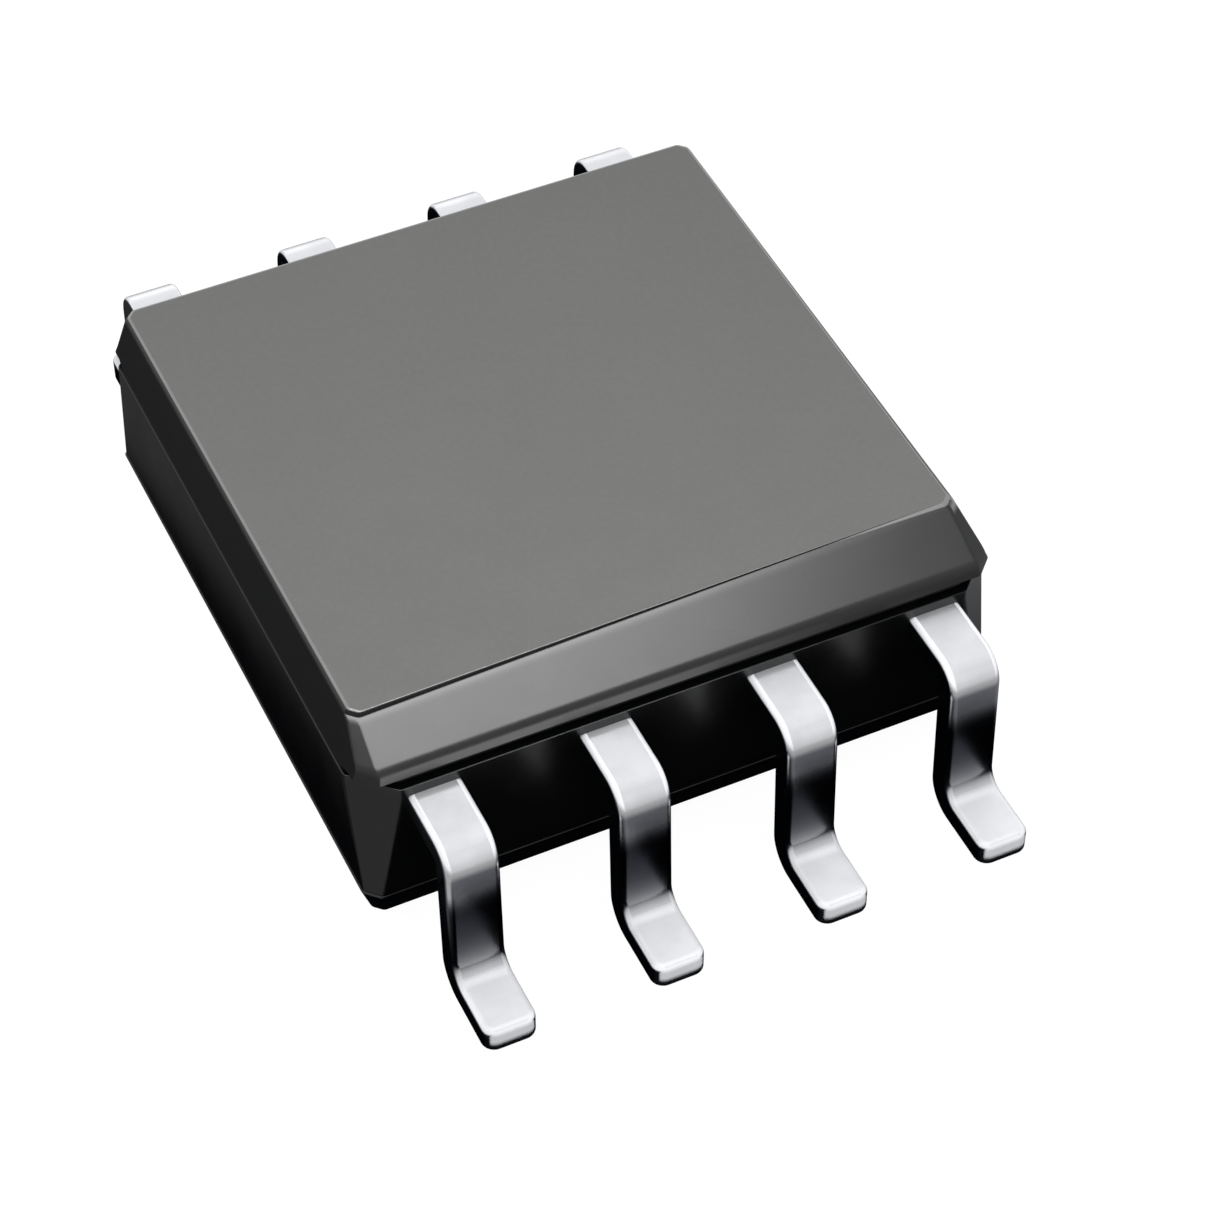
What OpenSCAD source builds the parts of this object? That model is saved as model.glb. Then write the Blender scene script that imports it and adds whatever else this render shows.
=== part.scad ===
// Eight-lead small-outline integrated circuit with gull-wing leads on two sides.
// X runs along the lead rows, Y across the body and Z up from the board.
// The origin is on the seating plane, under the centre of the body.
// Leads 1 to 4 run from -X to +X along the bevelled side at -Y.
// Leads 5 to 8 run back from +X to -X along the side at +Y.

/* [Body] */
// Length of the moulded body along the lead rows
body_length = 4.9; // [4.7:0.05:6]
// Width of the moulded body, from one lead row to the other
body_width = 5; // [4.6:0.05:6.2]
// Height of the top face above the board
seated_height = 1.85; // [1.75:0.05:2.4]
// Gap between the board and the underside of the body
standoff = 0.15; // [0.05:0.01:0.3]
// Height of the body above the parting plane, where the leads come out
cover_height = 0.45; // [0.42:0.01:0.7]
// Height of the upright rim above the parting plane
rim_height = 0.08; // [0.04:0.01:0.1]
// Ledge by which the rim stands out past the walls above it
rim_ledge = 0.035; // [0.02:0.005:0.05]
// Height of the fine groove along the top of the rim
groove_height = 0.045; // [0.02:0.005:0.06]
// Depth of that groove into the walls above the rim
groove_depth = 0.04; // [0.01:0.005:0.06]
// Ledge of the rim on the end walls, where no leads come out
end_ledge = 0.01; // [0.005:0.005:0.05]
// Depth of the groove into the end walls
end_groove_depth = 0.005; // [0.005:0.005:0.06]
// Draft of the side walls above the rim, in degrees
upper_draft = 16; // [5:1:18]
// Draft of the end walls above the rim, in degrees
end_draft = 19; // [5:1:20]
// Draft of the walls below the parting plane, in degrees
lower_draft = 1; // [0.5:0.5:8]
// Height of the chamfer round the underside
skirt_height = 0.27; // [0.12:0.01:0.4]
// Width of the chamfer round the underside
skirt_width = 0.07; // [0.02:0.01:0.1]
// Width of the flat bevel that marks the pin 1 side
bevel_width = 0.42; // [0.2:0.02:0.6]
// Height of the upright wall left between the rim and the bevel
bevel_land = 0.14; // [0.1:0.01:0.2]
// Blend radius between the bevel and the wall under it
bevel_blend = 0.12; // [0.03:0.01:0.2]
// Radius along the top edges
top_edge_r = 0.03; // [0.01:0.005:0.04]
// Radius along the bottom edges
bottom_edge_r = 0.05; // [0.02:0.01:0.1]
// Cut across each upright corner just above the rim
upper_corner_cut = 0.17; // [0.1:0.01:0.2]
// Cut across each upright corner of the rim
rim_corner_cut = 0.3; // [0.12:0.01:0.32]
// What is left of both corner cuts at the top and bottom faces
corner_cut_end = 0.06; // [0.04:0.01:0.1]
// Diameter of the ejector mark in the underside
ejector_mark_d = 1.2; // [0.6:0.1:2]
// Depth of the ejector mark
ejector_mark_depth = 0.03; // [0.01:0.01:0.08]

/* [Leads] */
// Distance between neighbouring leads
lead_pitch = 1.27; // [1.2:0.01:1.27]
// Width of each lead
lead_width = 0.4; // [0.31:0.01:0.51]
// Thickness of the leadframe strip
strip_thickness = 0.2; // [0.15:0.01:0.25]
// Reach of a lead's shoulder past the body wall
shoulder_reach = 0.64; // [0.5:0.01:0.8]
// Reach of a lead's toe past the body wall
lead_reach = 1.22; // [1.1:0.01:1.5]
// Inside radius of both bends
bend_r = 0.04; // [0.03:0.01:0.12]
// Outward lean of the upright part of a lead, in degrees
riser_lean = 2; // [0:0.5:6]
// Corner radius of a lead's toe
toe_r = 0.1; // [0.04:0.01:0.15]

/* [Leadframe inside the body] */
// Length of the die paddle along the lead rows
paddle_length = 2.9; // [2.4:0.1:3]
// Width of the die paddle
paddle_width = 2.2; // [1.8:0.1:2.4]
// How far the paddle is set below the plane of the leads
paddle_downset = 0.25; // [0.1:0.01:0.3]
// Width of the tie bars that carry the paddle
tie_bar_width = 0.3; // [0.15:0.01:0.4]
// Setback of a tie bar's cut end from the body wall
tie_bar_setback = 0.02; // [0.015:0.005:0.05]
// Gap between the finger tips and the edge of the paddle
finger_gap = 0.2; // [0.15:0.01:0.3]
// Width of a finger at its tip
finger_tip_width = 0.56; // [0.46:0.01:0.6]
// Straight neck of a finger inside the body wall
finger_neck = 0.25; // [0.2:0.01:0.35]
// Radius of the mould lock notches in a finger
lock_notch_r = 0.08; // [0.04:0.01:0.1]
// Shift of the corner leads' tips towards the middle
corner_tip_shift = 0.25; // [0.1:0.01:0.3]

/* [Die and bonds] */
// Length of the silicon die along the lead rows
die_length = 1.8; // [1.2:0.05:2.2]
// Width of the silicon die
die_width = 1.4; // [1:0.05:1.6]
// Thickness of the silicon die
die_thickness = 0.2; // [0.1:0.01:0.22]
// Thickness of the die attach layer
attach_thickness = 0.02; // [0.01:0.005:0.04]
// Margin of the die attach layer around the die
attach_margin = 0.06; // [0.02:0.01:0.1]
// Diameter of the bond wires
wire_d = 0.03; // [0.02:0.005:0.05]
// Height of the wire loops above the die
loop_height = 0.14; // [0.1:0.01:0.18]
// Distance of the bond pads from the edge of the die
pad_setback = 0.12; // [0.08:0.01:0.2]
// Distance of the stitch bonds from the finger tips
stitch_setback = 0.13; // [0.08:0.01:0.2]
// Diameter of the ball bonds
ball_d = 0.09; // [0.06:0.005:0.1]
// Height of the ball bonds
ball_height = 0.03; // [0.02:0.005:0.04]

/* [Hidden] */

leads_per_row = 4;
// Segments in one quarter turn of a bend, and in half of an upright corner
bend_steps = 8;
corner_steps = 3;
edge_steps = 3;
// Length by which cutting shapes run past what they cut
over = 0.1;

// Fillet on both edges of an upright corner's cut, and what it takes along each face
corner_fillet = 0.05;
corner_tangent = corner_fillet * tan(22.5);

// Heights of the parting plane, of the top of the rim and of the top of the chamfer
parting_height = seated_height - cover_height;
rim_top = parting_height + rim_height;
skirt_top = standoff + skirt_height;

// Heights through the stack of the leadframe and the die
frame_top = parting_height;
frame_bottom = frame_top - strip_thickness;
paddle_top = frame_top - paddle_downset;
die_bottom = paddle_top + attach_thickness;
die_top = die_bottom + die_thickness;

// Outer radius of the bends, and the centres of both bends as [reach, height]
bend_outer_r = bend_r + strip_thickness;
shoulder_bend = [shoulder_reach - bend_outer_r, frame_top - bend_outer_r];
foot_bend = [
    shoulder_bend[0] + (bend_outer_r + bend_r
        + (shoulder_bend[1] - bend_outer_r) * sin(riser_lean)) / cos(riser_lean),
    bend_outer_r
];

// Bevel: its lower corner and upper corner as [inset from the wall, height]
bevel_foot = [wall_inset(rim_top + bevel_land), rim_top + bevel_land];
bevel_head = [bevel_foot[0] + bevel_width, seated_height];
bevel_angle = atan((seated_height - bevel_foot[1]) / bevel_width);
// Blend under the bevel, limited by the wall there: its centre and the heights where it starts and ends
blend_turn = 90 - bevel_angle - upper_draft;
blend_reach = tan(blend_turn / 2) * cos(upper_draft);
blend_r = min(bevel_blend, (bevel_land - groove_height) / blend_reach);
blend_start = bevel_foot[1] - blend_r * blend_reach;
blend_centre = [
    wall_inset(blend_start) + blend_r * cos(upper_draft),
    blend_start - blend_r * sin(upper_draft)
];
blend_end = blend_centre[1] + blend_r * cos(bevel_angle);
// Rounding between the bevel and the top face, tied to the radius of the other top edges
crest_r = top_edge_r * (1 - sin(90 / edge_steps)) / (1 - cos(bevel_angle));
crest_centre = [bevel_head[0] + crest_r * tan(bevel_angle / 2), seated_height - crest_r];
crest_start = seated_height - crest_r * (1 - cos(bevel_angle));

// Inset of a side wall above the rim, at height z
function wall_inset(z) = rim_ledge + (z - rim_top) * tan(upper_draft);

// Inset of an end wall above the rim, at height z
function end_inset(z) = end_ledge + (z - rim_top) * tan(end_draft);

// Inset of the wall, its blend, the bevel or its crest on the pin 1 side, at height z
function bevel_side_inset(z) =
    z <= blend_start ? wall_inset(z) :
    z <= blend_end ? blend_centre[0] - sqrt(pow(blend_r, 2) - pow(z - blend_centre[1], 2)) :
    z <= crest_start ? bevel_foot[0] + (z - bevel_foot[1]) / tan(bevel_angle) :
    crest_centre[0] - sqrt(max(0, pow(crest_r, 2) - pow(z - crest_centre[1], 2)));

// Cut across an upright corner at height z, which narrows from one height to another
function corner_leg(z, widest, from, to) =
    widest + (corner_cut_end - widest) * (z - from) / (to - from);

// Points of an arc from angle a0 to angle a1
function arc(centre, r, a0, a1, steps) = [
    for (i = [0:steps])
        let (a = a0 + (a1 - a0) * i / steps)
        [centre[0] + r * cos(a), centre[1] + r * sin(a)]
];

// One upright corner, from the +X face round to the +Y face: a cut with a fillet on both edges
function corner_points(half_x, half_y, leg) = concat(
    arc([half_x - corner_fillet, half_y - leg - corner_tangent], corner_fillet, 0, 45, corner_steps),
    arc([half_x - leg - corner_tangent, half_y - corner_fillet], corner_fillet, 45, 90, corner_steps)
);

// Points in reverse order
function reversed(points) = [for (i = [len(points) - 1:-1:0]) points[i]];

// Closed outline of the body at height z, anticlockwise, inset from its ends, its back and the pin 1 side
function body_ring(z, ends, inset, front_inset, leg) =
    let (
        half_x = body_length / 2 - ends,
        back = corner_points(half_x, body_width / 2 - inset, leg),
        front = corner_points(half_x, body_width / 2 - front_inset, leg)
    )
    concat(
        [for (p = back) [p[0], p[1], z]],
        [for (p = reversed(back)) [-p[0], p[1], z]],
        [for (p = front) [-p[0], -p[1], z]],
        [for (p = reversed(front)) [p[0], -p[1], z]]
    );

// A ring below the parting plane, with the same inset on all four sides
function lower_ring(z, inset) =
    body_ring(z, inset, inset, inset, corner_leg(z, rim_corner_cut, parting_height, standoff));

// A ring above the rim
function upper_ring(z, ends, inset, front_inset) =
    body_ring(z, ends, inset, front_inset, corner_leg(z, upper_corner_cut, rim_top, seated_height));

// Inset of the lower walls and of the chamfer under them, at height z
function lower_inset(z) =
    (parting_height - z) * tan(lower_draft) + max(0, skirt_top - z) * skirt_width / skirt_height;

// Rings from the underside up to the outer edge of the rim
function lower_rings() = concat(
    [
        for (i = [0:edge_steps])
            let (a = 90 * i / edge_steps, z = standoff + bottom_edge_r * (1 - cos(a)))
            lower_ring(z, lower_inset(z) + bottom_edge_r * (1 - sin(a)))
    ],
    [
        lower_ring(skirt_top, lower_inset(skirt_top)),
        lower_ring(parting_height, 0),
        body_ring(rim_top, 0, 0, 0, rim_corner_cut)
    ]
);

// Rings of the groove, between the ledge of the rim and the foot of the walls above it
function groove_rings() =
    let (
        groove_top = rim_top + groove_height,
        foot = rim_ledge + groove_depth,
        lip = wall_inset(groove_top),
        end_lip = end_inset(groove_top)
    )
    [
        body_ring(rim_top, end_ledge + end_groove_depth, foot, foot, rim_corner_cut),
        upper_ring(groove_top, end_lip + end_groove_depth, lip + groove_depth, lip + groove_depth),
        upper_ring(groove_top, end_lip, lip, lip)
    ];

// Rings from the upper walls through the bevel to the top face
function upper_rings() = concat(
    [
        for (i = [0:edge_steps])
            let (z = blend_start + (blend_end - blend_start) * i / edge_steps)
            upper_ring(z, end_inset(z), wall_inset(z), bevel_side_inset(z))
    ],
    [
        for (i = [0:edge_steps])
            let (
                a = 90 * i / edge_steps,
                z = seated_height - top_edge_r * (1 - sin(a)),
                rounding = top_edge_r * (1 - cos(a))
            )
            upper_ring(z, end_inset(z) + rounding, wall_inset(z) + rounding, bevel_side_inset(z))
    ]
);

// Solid through a stack of rings that all have the same number of points
module loft(rings) {
    count = len(rings[0]);
    last = len(rings) - 1;
    sides = [
        for (k = [0:last - 1])
            for (i = [0:count - 1])
                let (a = k * count + i, b = k * count + (i + 1) % count)
                each [[a, a + count, b], [b, a + count, b + count]]
    ];
    floor_face = [for (i = [0:count - 1]) i];
    roof_face = [for (i = [count - 1:-1:0]) last * count + i];
    polyhedron([for (ring = rings) each ring], concat([floor_face, roof_face], sides));
}

// The mould compound with everything that it encloses cut out of it
module mould_body() {
    color("#6b6c69")
    difference() {
        loft(concat(lower_rings(), groove_rings(), upper_rings()));
        translate([0, 0, standoff - over])
            cylinder(h = over + ejector_mark_depth, d = ejector_mark_d, $fn = 64);
        for (k = [1:2 * leads_per_row])
            lead(k);
        die_paddle();
        die_attach();
        silicon_die();
        for (k = [1:2 * leads_per_row])
            bond_wire(k, bond_root = ball_height);
    }
}

// Column of lead k in its row, counted from -X
function lead_column(k) = k <= leads_per_row ? k - 1 : 2 * leads_per_row - k;

// Place of lead k along its row
function lead_x(k) = (lead_column(k) - (leads_per_row - 1) / 2) * lead_pitch;

// Side of the body that lead k leaves by, -1 or +1
function lead_side(k) = k <= leads_per_row ? -1 : 1;

// Shift of a finger's tip towards the middle, which only the corner leads have
function tip_shift(k) =
    let (column = lead_column(k))
    column == 0 ? corner_tip_shift :
    column == leads_per_row - 1 ? -corner_tip_shift :
    0;

// Depth of a finger's tip inside the body wall
finger_depth = (body_width - paddle_width) / 2 - finger_gap;

// Section of the gull wing outside the wall, with reach to the right and height up
module gull_section() {
    outer_face = concat(
        arc(shoulder_bend, bend_outer_r, 90, riser_lean, bend_steps),
        arc(foot_bend, bend_r, 180 + riser_lean, 270, bend_steps)
    );
    inner_face = concat(
        arc(foot_bend, bend_outer_r, 270, 180 + riser_lean, bend_steps),
        arc(shoulder_bend, bend_r, riser_lean, 90, bend_steps)
    );
    polygon(concat(
        [[-finger_neck, frame_top]],
        outer_face,
        [[lead_reach, strip_thickness], [lead_reach, 0]],
        inner_face,
        [[-finger_neck, frame_bottom]]
    ));
}

// Outline of the gull wing from above, with its rounded toe
module gull_plan() {
    half = lead_width / 2;
    polygon(concat(
        [[half, -finger_neck]],
        arc([half - toe_r, lead_reach - toe_r], toe_r, 0, 90, bend_steps),
        arc([toe_r - half, lead_reach - toe_r], toe_r, 90, 180, bend_steps),
        [[-half, -finger_neck]]
    ));
}

// The part of a lead outside the wall, pointing along +Y from the wall at y = 0
module gull_wing() {
    intersection() {
        translate([-lead_width / 2, 0, 0])
            rotate([90, 0, 90])
                linear_extrude(lead_width)
                    gull_section();
        linear_extrude(frame_top + over)
            gull_plan();
    }
}

// The part of a lead inside the body, whose notches lock it in the mould compound
module finger(shift) {
    half = lead_width / 2;
    half_tip = finger_tip_width / 2;
    flare_end = finger_neck + abs(shift) + half_tip - half;
    translate([0, 0, frame_bottom])
        linear_extrude(strip_thickness)
            difference() {
                polygon([
                    [half, 0],
                    [half, -finger_neck],
                    [shift + half_tip, -flare_end],
                    [shift + half_tip, -finger_depth],
                    [shift - half_tip, -finger_depth],
                    [shift - half_tip, -flare_end],
                    [-half, -finger_neck],
                    [-half, 0]
                ]);
                for (side = [-1, 1])
                    translate([shift + side * half_tip, -(flare_end + finger_depth) / 2])
                        circle(r = lock_notch_r, $fn = 24);
            }
}

// Lead k, from its finger beside the die to its foot on the board
module lead(k) {
    side = lead_side(k);
    color("#d4d6da")
    translate([lead_x(k), side * body_width / 2, 0])
        mirror([0, side < 0 ? 1 : 0, 0])
            union() {
                gull_wing();
                finger(tip_shift(k));
            }
}

// The plate that carries the die, with a tie bar out to each end wall
module die_paddle() {
    half_length = paddle_length / 2;
    bar_end = body_length / 2 - tie_bar_setback;
    step_start = half_length + strip_thickness / 2;
    step_end = step_start + paddle_downset;
    bar_top = [
        [step_start, paddle_top],
        [step_end, frame_top],
        [bar_end, frame_top]
    ];
    bar_section = concat(
        [[half_length - over, paddle_top]],
        bar_top,
        [for (p = reversed(bar_top)) [p[0], p[1] - strip_thickness]],
        [[half_length - over, paddle_top - strip_thickness]]
    );
    color("#c08a5a")
    union() {
        translate([-half_length, -paddle_width / 2, paddle_top - strip_thickness])
            cube([paddle_length, paddle_width, strip_thickness]);
        for (turn = [0, 180])
            rotate([0, 0, turn])
                translate([0, tie_bar_width / 2, 0])
                    rotate([90, 0, 0])
                        linear_extrude(tie_bar_width)
                            polygon(bar_section);
    }
}

// The epoxy layer between the die and its paddle
module die_attach() {
    length = die_length + 2 * attach_margin;
    width = die_width + 2 * attach_margin;
    color("#9a9a92")
    translate([-length / 2, -width / 2, paddle_top])
        cube([length, width, attach_thickness]);
}

// The silicon chip itself
module silicon_die() {
    color("#4f5a74")
    translate([-die_length / 2, -die_width / 2, die_bottom])
        cube([die_length, die_width, die_thickness]);
}

// Spacing of the bond pads along the edge of the die
pad_pitch = (die_length - 2 * pad_setback) / (leads_per_row - 1);

// Bond pad of lead k, on top of the die
function bond_pad(k) = [
    (lead_column(k) - (leads_per_row - 1) / 2) * pad_pitch,
    lead_side(k) * (die_width / 2 - pad_setback),
    die_top
];

// Stitch bond of lead k, on top of its finger
function stitch(k) = [
    lead_x(k) + tip_shift(k),
    lead_side(k) * (paddle_width / 2 + finger_gap + stitch_setback),
    frame_top
];

// Point at parameter t of the cubic curve with control points p
function bezier(p, t) =
    pow(1 - t, 3) * p[0] + 3 * t * pow(1 - t, 2) * p[1] + 3 * pow(t, 2) * (1 - t) * p[2] + pow(t, 3) * p[3];

// Direction of the same curve at parameter t
function bezier_slope(p, t) =
    pow(1 - t, 2) * (p[1] - p[0]) + 2 * t * (1 - t) * (p[2] - p[1]) + pow(t, 2) * (p[3] - p[2]);

// Bond wire k: a ball on the die, a loop over the die's edge and a stitch on the finger
module bond_wire(k, bond_root = 0) {
    sides = 8;
    steps = 14;
    wire_r = wire_d / 2;
    pad = bond_pad(k);
    end = stitch(k);
    span = norm([end[0] - pad[0], end[1] - pad[1]]);
    run = [(end[0] - pad[0]) / span, (end[1] - pad[1]) / span, 0];
    across = [run[1], -run[0], 0];
    wire_start = pad + [0, 0, ball_height / 2];
    wire_end = end + [0, 0, wire_r + ball_height / 6];
    // The height of the controls brings the curve's crest to the loop height
    crest = die_top + loop_height * 4 / 3 + ball_height;
    controls = [
        wire_start,
        [pad[0], pad[1], crest],
        [pad[0], pad[1], crest] + run * span * 0.35,
        wire_end
    ];
    rings = [
        for (i = [0:steps])
            let (
                t = i / steps,
                centre = bezier(controls, t),
                slope = bezier_slope(controls, t),
                along = slope / norm(slope),
                normal = cross(along, across)
            )
            [
                for (j = [0:sides - 1])
                    let (a = 360 * (j + 0.5) / sides)
                    centre + wire_r * (cos(a) * across + sin(a) * normal)
            ]
    ];
    color("#e0b64a")
    union() {
        translate(pad - [0, 0, bond_root])
            cylinder(h = ball_height + bond_root, d = ball_d, $fn = 24);
        loft(rings);
        translate(end - [0, 0, bond_root])
            cylinder(h = wire_r + ball_height / 3 + bond_root, d = ball_d, $fn = 24);
    }
}

mould_body();
lead(1);  // lead_1
lead(2);  // lead_2
lead(3);  // lead_3
lead(4);  // lead_4
lead(5);  // lead_5
lead(6);  // lead_6
lead(7);  // lead_7
lead(8);  // lead_8
die_paddle();
die_attach();
silicon_die();
bond_wire(1);  // bond_wire_1
bond_wire(2);  // bond_wire_2
bond_wire(3);  // bond_wire_3
bond_wire(4);  // bond_wire_4
bond_wire(5);  // bond_wire_5
bond_wire(6);  // bond_wire_6
bond_wire(7);  // bond_wire_7
bond_wire(8);  // bond_wire_8
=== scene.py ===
"""Looks of an eight-lead small-outline integrated circuit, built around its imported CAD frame.

Meshes are sketched in millimetres, because the package is only a few of them across, and are
brought to metres when each piece is finished. X runs along the lead rows and Z up from the board.
"""
import logging
import math
from collections.abc import Iterable
from dataclasses import dataclass, field
from enum import Enum

import bmesh
import bpy
from mathutils import Matrix, Vector


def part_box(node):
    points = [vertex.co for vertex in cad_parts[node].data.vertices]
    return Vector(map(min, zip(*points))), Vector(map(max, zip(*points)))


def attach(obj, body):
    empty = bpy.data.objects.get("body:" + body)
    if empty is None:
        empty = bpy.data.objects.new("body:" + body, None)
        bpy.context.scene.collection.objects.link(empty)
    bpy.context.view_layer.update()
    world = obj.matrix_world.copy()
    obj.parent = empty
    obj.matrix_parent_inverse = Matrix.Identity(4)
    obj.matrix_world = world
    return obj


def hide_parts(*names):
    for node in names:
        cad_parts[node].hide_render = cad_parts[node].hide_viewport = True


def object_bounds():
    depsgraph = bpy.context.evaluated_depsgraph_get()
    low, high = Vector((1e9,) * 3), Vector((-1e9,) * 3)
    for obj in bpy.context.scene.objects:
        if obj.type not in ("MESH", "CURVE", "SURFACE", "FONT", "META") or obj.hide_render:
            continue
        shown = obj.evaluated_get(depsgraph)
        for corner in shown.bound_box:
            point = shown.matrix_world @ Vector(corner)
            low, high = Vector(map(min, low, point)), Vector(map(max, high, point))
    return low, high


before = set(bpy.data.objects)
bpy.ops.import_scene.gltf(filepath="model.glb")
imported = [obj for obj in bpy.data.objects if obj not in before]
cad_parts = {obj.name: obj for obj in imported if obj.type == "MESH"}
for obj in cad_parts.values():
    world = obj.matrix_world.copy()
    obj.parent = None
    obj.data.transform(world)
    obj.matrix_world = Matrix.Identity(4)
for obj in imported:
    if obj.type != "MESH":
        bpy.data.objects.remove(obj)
CAD_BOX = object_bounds()

LOG = logging.getLogger("small_outline_package")
MM = 0.001
WELD_MM = 0.0001
BODY = "root"


class Slot(Enum):
    """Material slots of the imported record."""

    MOULD = "mould_compound"
    TIN = "tin_plate"
    COPPER = "copper_alloy"
    EPOXY = "silver_epoxy"
    SILICON = "silicon"
    GOLD = "gold"


class Side(Enum):
    """Sides of the body that leads leave by, as the sign of Y."""

    BEVELLED = -1
    PLAIN = 1


# ---------------------------------------------------------------- shader sketching

Colour = tuple[float, float, float, float]
Socket = bpy.types.NodeSocket
UP = Vector((0, 0, 1))
ALONG = Vector((1, 0, 0))
BACK = Vector((0, 1, 0))
FRONT = Vector((0, -1, 0))


def grey(value: float) -> Colour:
    """Returns a neutral colour."""
    return (value, value, value, 1.0)


def tint(red: float, green: float, blue: float) -> Colour:
    """Returns a linear colour."""
    return (red, green, blue, 1.0)


@dataclass(frozen=True)
class Band:
    """Two values that a ramp runs between."""

    start: float
    end: float


def mm_band(start: float, end: float) -> Band:
    """Returns a band of lengths that are given in millimetres and kept in metres."""
    return Band(start * MM, end * MM)


RISING = Band(0.0, 1.0)
FALLING = Band(1.0, 0.0)
CLOUDS = Band(0.3, 0.7)


@dataclass
class NodeSketch:
    """Adds nodes to one node tree and wires them up as they are made."""

    tree: bpy.types.NodeTree

    @classmethod
    def blank(cls, owner: bpy.types.ID) -> "NodeSketch":
        """Switches an owner to nodes and empties its tree.

        Args:
            owner: Material, lamp or world.

        Returns:
            A sketch of its tree.
        """
        owner.use_nodes = True
        owner.node_tree.nodes.clear()
        return cls(owner.node_tree)

    def add(self, kind: str, settings: dict[str, object] | None = None, **inputs: object) -> bpy.types.Node:
        """Makes a node.

        Args:
            kind: Name of the node type, such as ShaderNodeMix.
            settings: Properties of the node itself.
            **inputs: Values or sockets for its inputs, with underscores for spaces; iN is input N.

        Returns:
            The new node.
        """
        node = self.tree.nodes.new(kind)
        for name, value in (settings or {}).items():
            setattr(node, name, value)
        for name, value in inputs.items():
            number = name[1:] if name[0] == "i" else ""
            socket = node.inputs[int(number)] if number.isdigit() else node.inputs[name.replace("_", " ")]
            if isinstance(value, Socket):
                self.tree.links.new(value, socket)
            else:
                socket.default_value = value
        return node

    def math(self, operation: str, a: object, b: object = 0.0) -> Socket:
        """Returns the result of a maths node."""
        return self.add("ShaderNodeMath", {"operation": operation}, i0=a, i1=b).outputs[0]

    def times(self, a: object, b: object) -> Socket:
        """Returns the product of two values."""
        return self.math("MULTIPLY", a, b)

    def minus(self, a: object, b: object) -> Socket:
        """Returns a value less another."""
        return self.math("SUBTRACT", a, b)

    def larger(self, a: object, b: object) -> Socket:
        """Returns the larger of two values."""
        return self.math("MAXIMUM", a, b)

    def dot(self, a: object, b: object) -> Socket:
        """Returns the dot product of two vectors."""
        return self.add("ShaderNodeVectorMath", {"operation": "DOT_PRODUCT"}, i0=a, i1=b).outputs["Value"]

    def ramp(self, value: object, over: Band, to: Band = RISING) -> Socket:
        """Maps a value smoothly from one band to another.

        Args:
            value: Socket to map.
            over: Band of the value that the ramp covers.
            to: Results at the start and the end of that band.

        Returns:
            The mapped value.
        """
        return self.add(
            "ShaderNodeMapRange",
            {"interpolation_type": "SMOOTHSTEP"},
            i0=value, i1=over.start, i2=over.end, i3=to.start, i4=to.end,
        ).outputs[0]

    def blend(self, factor: object, a: object, b: object) -> Socket:
        """Returns colour a turned into colour b by a factor."""
        return self.add("ShaderNodeMix", {"data_type": "RGBA"}, i0=factor, i6=a, i7=b).outputs[2]

    def object_place(self) -> Socket:
        """Returns the place on the piece, in metres."""
        return self.add("ShaderNodeTexCoord").outputs["Object"]

    def normal(self) -> Socket:
        """Returns the direction that the surface faces."""
        return self.add("ShaderNodeNewGeometry").outputs["Normal"]

    def noise(self, place: Socket, size_mm: float, detail: float, stretch: Vector | None = None) -> Socket:
        """Adds noise in object space.

        Args:
            place: Socket with the place in metres.
            size_mm: Rough size of one blotch in millimetres.
            detail: Number of finer octaves.
            stretch: Factors on the place along each axis.

        Returns:
            The noise, from 0 to 1.
        """
        if stretch is not None:
            stretched = self.add("ShaderNodeVectorMath", {"operation": "MULTIPLY"}, i0=place, i1=stretch)
            place = stretched.outputs[0]
        noise = self.add("ShaderNodeTexNoise", Vector=place, Scale=1 / (size_mm * MM), Detail=detail)
        return noise.outputs[0]

    def bump(self, strength: float, depth_mm: float, height: object) -> Socket:
        """Returns the normal of a surface with a relief on it."""
        relief = self.add("ShaderNodeBump", Strength=strength, Distance=depth_mm * MM, Height=height)
        return relief.outputs[0]

    def principled(self, **inputs: object) -> Socket:
        """Returns the surface that a shader makes of its inputs."""
        return self.add("ShaderNodeBsdfPrincipled", **inputs).outputs[0]


@dataclass(frozen=True)
class Finish:
    """A procedural finish, made into one material that all its pieces share."""

    name: str
    slot: Slot

    def material(self) -> bpy.types.Material:
        """Makes the material the first time it is asked for.

        Returns:
            The material of this finish.
        """
        known = bpy.data.materials.get(self.name)
        if known is not None:
            return known
        material = bpy.data.materials.new(self.name)
        sketch = NodeSketch.blank(material)
        sketch.add("ShaderNodeOutputMaterial", Surface=self.shader(sketch))
        return material

    def shader(self, sketch: NodeSketch) -> Socket:
        """Wires the finish up; each finish has its own."""
        raise NotImplementedError


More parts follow.
